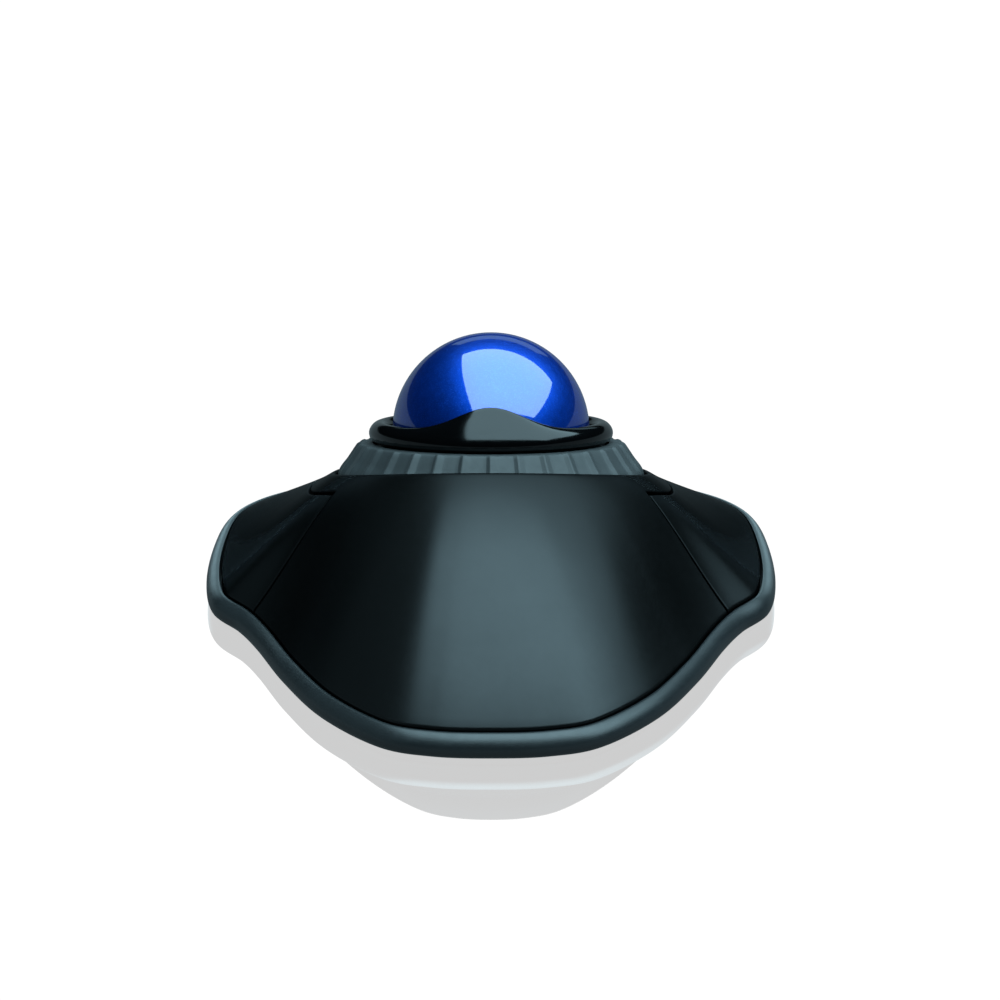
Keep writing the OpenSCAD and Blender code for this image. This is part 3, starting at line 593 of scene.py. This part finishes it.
def top_shell():
    """Palm panel, spine, collar and well in one; the buttons lie over the holes at its sides."""
    palm = spread(-palm_edge, palm_edge, PALM_STEPS)
    wing = spread(wing_start, wing_end, WING_STEPS)
    spine = [spread(spine_edge, 180 - outlet, SPINE_STEPS, (True, False)),
             np.linspace(180 - outlet, 180 + outlet, OUTLET_STEPS)[1:-1],
             spread(180 + outlet, 360 - spine_edge, SPINE_STEPS, (False, True))]
    parts = [palm, wing, *spine, spread(360 - wing_end, 360 - wing_start, WING_STEPS)]
    w = np.concatenate(parts)
    n = [len(p) for p in parts]
    kinds = ["palm"] * (n[0] - 1) + ["none"] + ["wing"] * (n[1] - 1) + ["none"]
    kinds += ["spine"] * (n[2] - 1) + ["outlet"] * (n[3] + 1) + ["spine"] * (n[4] - 1) + ["none"]
    kinds += ["wing"] * (n[5] - 1) + ["none"]
    outer, inner, tags = skin_rows(np.where(w > 180, w - 360, w), SKIRT, True)
    keep = []
    for i in range(len(tags) - 1):
        upper = tags[i] in ("collar", "lip", "wall")
        low = tags[i] in ("skirt", "edge") or (tags[i] == "low" and tags[i + 1] != "high")
        keep.append([upper or k == "palm" or k == "spine" or (k == "outlet" and not low)
                     for k in kinds])
    verts, faces = grid_shell(outer, inner, keep, True, (0, len(tags) - 1))
    return build("palm_shell", verts, faces, "case", "shell_black", ["top_shell"])


def button(side):
    """One button, from its seam to the spine."""
    sign = 1 if side == "right" else -1
    w = spread(wing_start, wing_end, BUTTON_STEPS)
    outer, inner, tags = skin_rows(w, BUTTON_SKIRT, False)
    keep = [[True] * len(w) for _ in tags]
    verts, faces = grid_shell(outer, inner, keep, False, (0,))
    verts = [p * [sign, 1, 1] for p in verts]
    return build(side + "_button_cap", verts, faces, side + "_button_body", "shell_black",
                 [side + "_button"])


POLE_R = 0.001                      # radius at which a turned profile ends on its axis
POST_CHAMFER = 0.15
POST_STEPS = 32


def post(name, at, r, z0, z1, body, flip=1):
    """A moulded post with a small chamfer at its foot."""
    profile = [(POLE_R, z0), (r - POST_CHAMFER, z0), (r, z0 + POST_CHAMFER), (r, z1), (POLE_R, z1)]
    verts, faces = lathe(profile, POST_STEPS, lambda p: (p + [at[0], at[1], 0]) * [flip, 1, 1])
    return build(name, verts, faces, body, "shell_black")


PIVOT = (37.6, 1.0, 11.0)           # the right button's hinge
LUG_W = 3.4                         # the arm on the hinge's pin
LUG_R = 2.5
LUG_TOPS = (22.2, 19.0)             # of its inner and outer cheeks
PIN_BORE = 1.05
SWITCH_AT = (35.6, 27.4)
PRESS_R = 1.5                       # the post that presses the switch
PRESS_Z = (12.3, 15.3)
SHELL_POSTS = ((24.0, -34.0, 16.1), (-24.0, -34.0, 16.1), (0.0, -48.0, 14.1))
POST_R = 2.8                        # the posts that take the case screws
POST_FOOT = 5.5
PEG_R = 1.0                         # the pegs under the well
PEG_FOOT = 3.4
PEG_RISE = 1.2
PEG_BEARING = 145.0


def lug(side):
    """The button's pivot arm: flat cheeks, a round foot and the pin's bore through it."""
    sign = 1 if side == "right" else -1
    arc = np.linspace(math.pi, 2 * math.pi, 25)
    rows = []
    for x, top in ((-LUG_W / 2, LUG_TOPS[0]), (LUG_W / 2, LUG_TOPS[1])):
        outer = [(LUG_R * math.cos(a), PIVOT[2] + LUG_R * math.sin(a)) for a in arc]
        outer += [(LUG_R, top), (0, top), (-LUG_R, top)]
        inner = []
        for y, z in outer:
            a = math.atan2(z - PIVOT[2], y)
            inner.append((PIN_BORE * math.cos(a), PIVOT[2] + PIN_BORE * math.sin(a)))
        rows.append([((PIVOT[0] + x) * sign, PIVOT[1] + y, z) for y, z in outer])
        rows.append([((PIVOT[0] + x) * sign, PIVOT[1] + y, z) for y, z in inner])
    verts, faces = loops([rows[0], rows[2], rows[3], rows[1]])
    return build(side + "_button_lug", verts, faces, side + "_button_body", "shell_black")


top_shell()
for side in ("left", "right"):
    button(side)
    lug(side)
    post(side + "_press_post", SWITCH_AT, PRESS_R, *PRESS_Z, side + "_button_body",
         1 if side == "right" else -1)
for i, (px, py, pz) in enumerate(SHELL_POSTS):
    post("screw_post_%d" % i, (px, py), POST_R, POST_FOOT, pz, "case")
for i, bearing in enumerate((PEG_BEARING, -PEG_BEARING)):
    peg = tilted(WELL_R + SHELL_T / 2, np.radians(bearing), WELL_FLOOR)
    post("locating_peg_%d" % i, peg, PEG_R, PEG_FOOT, peg[2] + PEG_RISE, "case")

# ---------------------------------------------------------------- rim band

RIM_LAP = 0.05                      # on each side the rim's cut is narrower than the shell's
RIM_STEP = 0.005                    # half the run of the cut's steep sides
RIM_SHELF = 0.1                     # how far the cut's floor lies below the shell's skirt


def rim():
    """The band round the base, cut down to a low shelf where the cable comes out.

    Its section is a soft nose, a flat top and a crisp inner edge, as (distance in, height).
    """
    nose = [(1.2, 1.2), (0.3, 1.9), (0, 3.0), (0.3, 4.2), (1.1, 5.3), (2.0, 5.95), (2.62, 5.93),
            (2.7, 5.8)]
    section = open_curve(nose, 4) + [(2.7, 3.5), (2.7, 1.2), (2.0, 1.2)]
    cut = gland_half - RIM_LAP
    curve = []
    n = len(OUTLINE)
    for i in range(n):
        a, b = OUTLINE[i], OUTLINE[(i + 1) % n]
        curve.append((a, abs(a[0]) < cut and a[1] > 0))
        if a[1] > 0:
            for x in (cut, -cut):
                if (a[0] - x) * (b[0] - x) < 0:
                    f = (x - a[0]) / (b[0] - a[0])
                    p = a + (b - a) * f
                    e = unit(b - a) * RIM_STEP
                    entering = abs(b[0]) < cut
                    curve += [(p - e, not entering), (p + e, entering)]
    line = np.array([c[0] for c in curve])
    low = np.array([c[1] for c in curve])
    shelf = SKIRT - RIM_SHELF
    rows = []
    for d, z in section:
        ring = inset(line, float(d))
        zz = np.where(low, min(z, shelf), z)
        rows.append(np.column_stack([ring, zz]))
    verts, faces = loops(rows)
    return build("rim_moulding", verts, faces, "case", "rim_slate", ["rim_band"], sharp=32)


rim()

# ---------------------------------------------------------------- bezel, ring and ball

WAVE_W = 24.0                       # half-width of the bezel's wave, in degrees
BEZEL_STEPS = 240
RIBS = 32
RIB_R = 28.4                        # radius at which the rib section is measured
BALL_CELLS = 48


def bezel():
    """The glossy ring round the ball, with a wave at the front.

    Its section is (radius, height, rise at the wave, lean towards the ball at the wave).
    """
    profile = [(22.3, -3, 0, 0), (22.7, -2.4, 0, 0), (24.2, -1.6, 0, 0), (24.7, -0.6, 0.3, 0.1),
               (24.6, 0.5, 1.6, 0.7), (23.8, 1.6, 3.2, 0.85), (22.6, 2.1, 4.5, 0.45),
               (21.4, 1.8, 4.7, 0.2), (20.75, 0.8, 4.4, 0.1), (20.75, -1.2, 2.0, 0)]
    section = open_curve(profile, 6) + [(20.75, -3.0, 0, 0), (21.5, -3.0, 0, 0)]
    w = np.linspace(-180, 180, BEZEL_STEPS, endpoint=False)
    wave = np.exp(-(w / WAVE_W) ** 2)
    rows = [tilted(r - lean * wave, np.radians(w), h + rise * wave)
            for r, h, rise, lean in section]
    verts, faces = loops(rows)
    return build("bezel_ring", verts, faces, "case", "bezel_gloss", ["ball_bezel"])


def grip():
    """The rubber ring: a flared section with one-sided ribs."""
    face = [(26.1, -2.3), (26.55, -2.6), (27.6, -4.1), (28.6, -5.6), (29.7, -7.0), (30.3, -8.0),
            (30.5, -9.0), (30.5, -10.4)]
    fine = np.array(open_curve(face, 4))
    tang = unit(np.gradient(fine, axis=0))
    norm = np.stack([-tang[:, 1], tang[:, 0]], 1)
    norm *= np.sign(norm[:, :1] + 1e-9)
    pitch = 360 / RIBS
    mm_deg = math.degrees(1 / RIB_R)
    # one rib, as (distance round the ring, height); its left side is the steep one
    rib = [(-1.9, 0), (-0.90, 0), (-0.80, 0.03), (-0.22, 0.52), (-0.12, 0.57), (0.15, 0.57),
           (0.3, 0.54), (1.3, 0.04), (1.5, 0), (2.4, 0)]
    angles, heights = [], []
    for k in range(RIBS):
        for d, h in rib:
            angles.append(k * pitch + d * mm_deg)
            heights.append(h)
    angles, heights = np.radians(np.array(angles)), np.array(heights)
    rows = []
    last = len(fine) - 1
    for i, (p, n) in enumerate(zip(fine, norm)):
        # the ribs rise over the first five rows and sink over the last three
        s = min(i / 5, 1.0) if i < last - 3 else max((last - i) / 3, 0) * 0.6
        rows.append(tilted(p[0] + n[0] * heights * s, angles, p[1] + n[1] * heights * s))
    # the plain inner side
    for r, h in ((29.3, -10.4), (29.3, -8.7), (28.6, -7.6), (25.4, -3.6), (24, -3.6), (24, -2.2)):
        rows.append(tilted(r + 0 * angles, angles, h + 0 * angles))
    verts, faces = loops(rows)
    return build("scroll_grip", verts, faces, "ring_body", "ring_rubber", ["scroll_ring_grip"],
                 sharp=30)


def ball():
    """A cube projected on the sphere, so that the facets are even all over."""
    n = BALL_CELLS
    s = np.tan(np.linspace(-math.pi / 4, math.pi / 4, n + 1))
    verts, faces = [], []
    for axis in range(3):
        for sign in (-1, 1):
            base = len(verts)
            for i in range(n + 1):
                for j in range(n + 1):
                    p = np.zeros(3)
                    p[axis], p[(axis + 1) % 3], p[(axis + 2) % 3] = sign, s[i], s[j]
                    verts.append(BALL + unit(p) * BALL_R)
            faces += [(base + i * (n + 1) + j, base + (i + 1) * (n + 1) + j,
                       base + (i + 1) * (n + 1) + j + 1, base + i * (n + 1) + j + 1)
                      for i in range(n) for j in range(n)]
    return build("pearl_ball", verts, faces, "ball_body", "ball_pearl", ["ball"], sharp=60)


bezel()
grip()
ball()

# ---------------------------------------------------------------- floor, lights and camera

def plane(name, size, surface):
    """A square on the desk's level that isn't part of the object."""
    mesh = bpy.data.meshes.new(name)
    h = size / 2
    mesh.from_pydata([(-h, -h, 0), (h, -h, 0), (h, h, 0), (-h, h, 0)], [], [(0, 1, 2, 3)])
    obj = bpy.data.objects.new(name, mesh)
    bpy.context.scene.collection.objects.link(obj)
    mesh.materials.append(surface)
    return obj


def glow(name, color, strength, mirror=0.0):
    """An even glow, a share of which can be a mirror instead."""
    mat = bpy.data.materials.new(name)
    mat.use_nodes = True
    nt = mat.node_tree
    nt.nodes.clear()
    out = nt.nodes.new("ShaderNodeOutputMaterial")
    e = nt.nodes.new("ShaderNodeEmission")
    e.inputs["Color"].default_value = (*color, 1)
    e.inputs["Strength"].default_value = strength
    if not mirror:
        nt.links.new(e.outputs[0], out.inputs["Surface"])
        return mat
    g = nt.nodes.new("ShaderNodeBsdfGlossy")
    g.inputs["Roughness"].default_value = 0.02
    g.inputs["Color"].default_value = (1, 1, 1, 1)
    m = nt.nodes.new("ShaderNodeMixShader")
    m.inputs[0].default_value = mirror
    nt.links.new(e.outputs[0], m.inputs[1])
    nt.links.new(g.outputs[0], m.inputs[2])
    nt.links.new(m.outputs[0], out.inputs["Surface"])
    return mat


WHITE = (1, 1, 1)
WHITE_LEVEL = 1.05                  # glow of the floor and the backdrop
FLOOR_SIZE = 8
FLOOR_MIRROR = 0.42                 # share of mirror in the floor
DOME_R = 3.9                        # in metres, as is the floor's size
DOME_STEPS = 48
floor = plane("floor", FLOOR_SIZE, glow("floor_white", WHITE, WHITE_LEVEL, FLOOR_MIRROR))
floor.visible_diffuse = False
floor.visible_glossy = False
floor.visible_transmission = False
floor.visible_shadow = False

# The backdrop is a dome that only the camera and the floor's mirror see.
dome_verts, dome_faces = [], []
dome_section = ((DOME_R, -0.01), (DOME_R, 1.5), (DOME_R * 0.8, 2.9), (DOME_R * 0.4, 3.6),
                (0.01, 3.8))
for r, z in dome_section:
    dome_verts += [(r * math.cos(a), r * math.sin(a), z)
                   for a in np.linspace(0, 2 * math.pi, DOME_STEPS, endpoint=False)]
for k in range(len(dome_section) - 1):
    lower, upper = k * DOME_STEPS, (k + 1) * DOME_STEPS
    dome_faces += [(lower + j, upper + j, upper + (j + 1) % DOME_STEPS,
                    lower + (j + 1) % DOME_STEPS) for j in range(DOME_STEPS)]
dome_mesh = bpy.data.meshes.new("backdrop")
dome_mesh.from_pydata(dome_verts, [], dome_faces)
dome_mesh.materials.append(glow("backdrop_white", WHITE, WHITE_LEVEL))
dome = bpy.data.objects.new("backdrop", dome_mesh)
bpy.context.scene.collection.objects.link(dome)
dome.visible_diffuse = False
dome.visible_shadow = False
only_floor = bpy.data.collections.new("floor_only")
bpy.context.scene.collection.children.link(only_floor)
only_floor.objects.link(floor)
dome.light_linking.receiver_collection = only_floor

# Lights, in metres: softboxes hang overhead, a fill stands at the left and cards at the back.
LIGHT = (0.56, 0.88, 1.0)           # colour of every light
SOFTBOX_Z = 0.62
FILL_AT, FILL_SIZE = (-1.3, -0.3, 0.7), (2.2, 2.0)
CARD_AT, CARD_SIZE = (0.0, 1.3, 0.3), (2.4, 0.8)
RIM_CARD_AT, RIM_CARD_SIZE = (0.1, 1.3, 0.36), (0.9, 0.3)
AIM = (0, 0, 0.03)


def area(name, at, aim, size, size_y, strength):
    """A soft rectangular light of a set brightness, whatever its size."""
    light = bpy.data.lights.new(name, "AREA")
    light.shape = "RECTANGLE"
    light.size, light.size_y = size, size_y
    light.energy = strength * size * size_y * math.pi
    light.color = LIGHT
    obj = bpy.data.objects.new(name, light)
    obj.location = at
    obj.rotation_euler = (Vector(aim) - Vector(at)).to_track_quat("-Z", "Y").to_euler()
    bpy.context.scene.collection.objects.link(obj)
    obj.visible_camera = False
    return obj


def overhead(name, x, y, size, size_y, strength):
    """A softbox that hangs over (x, y) and points straight down."""
    return area(name, (x, y, SOFTBOX_Z), (x, y, 0), size, size_y, strength)


def lit_by(name, lights, objects):
    """Lets each of the lights fall on the named objects only."""
    group = bpy.data.collections.new(name)
    bpy.context.scene.collection.children.link(group)
    for obj in objects:
        group.objects.link(obj)
    for light in lights:
        light.light_linking.receiver_collection = group


# The wings, the palm with the rim, and the rest are each lit by lights of their own.
meshes = [o for o in bpy.data.objects if o.type == "MESH" and o.name not in ("floor", "backdrop")]
wings = [o for o in meshes if o.name in ("left_button_cap", "right_button_cap")]
body = [o for o in meshes if o.name in ("palm_shell", "rim_moulding")]
others = [o for o in meshes if o not in wings and o not in body]
lit_by("body_lit", [
    overhead("softbox_front", 0.5, -0.25, 1.5, 0.6, 4.0),
    overhead("softbox_middle", 0.5, 0.11, 1.46, 0.12, 2.7),
    overhead("softbox_rear", 0.5, 0.36, 1.4, 0.38, 1.4),
    area("fill_left", FILL_AT, AIM, *FILL_SIZE, 0.16),
    area("back_card", CARD_AT, AIM, *CARD_SIZE, 1.8)], body)
lit_by("wings_lit", [
    overhead("wing_softbox", 0.5, 0.02, 1.5, 1.14, 1.5),
    area("wing_fill", FILL_AT, AIM, *FILL_SIZE, 0.16),
    area("wing_card", CARD_AT, AIM, *CARD_SIZE, 3.2)], wings)
lit_by("others_lit", [
    overhead("softbox", 0.34, 0.02, 1.26, 1.14, 3.8),
    area("rim_card", RIM_CARD_AT, AIM, *RIM_CARD_SIZE, 0.4)], others)

WORLD_COLOR, WORLD_LEVEL = (0.65, 0.9, 1.0), 0.2
world = bpy.data.worlds.new("studio")
bpy.context.scene.world = world
world.use_nodes = True
background = world.node_tree.nodes["Background"]
background.inputs["Color"].default_value = (*WORLD_COLOR, 1)
background.inputs["Strength"].default_value = WORLD_LEVEL

CAMERA_AT = (0.00183, -0.52841, 0.28244)
CAMERA_DOWN = 26                    # degrees below level
CAMERA_LENS = 106.49
cam_data = bpy.data.cameras.new("camera")
cam_data.lens = CAMERA_LENS
cam_data.sensor_width = 36
cam_data.clip_start, cam_data.clip_end = 0.01, 50
cam = bpy.data.objects.new("camera", cam_data)
cam.location = CAMERA_AT
cam.rotation_euler = (math.radians(90 - CAMERA_DOWN), 0, 0)
bpy.context.scene.collection.objects.link(cam)
bpy.context.scene.camera = cam
bpy.context.scene.view_settings.view_transform = "Standard"
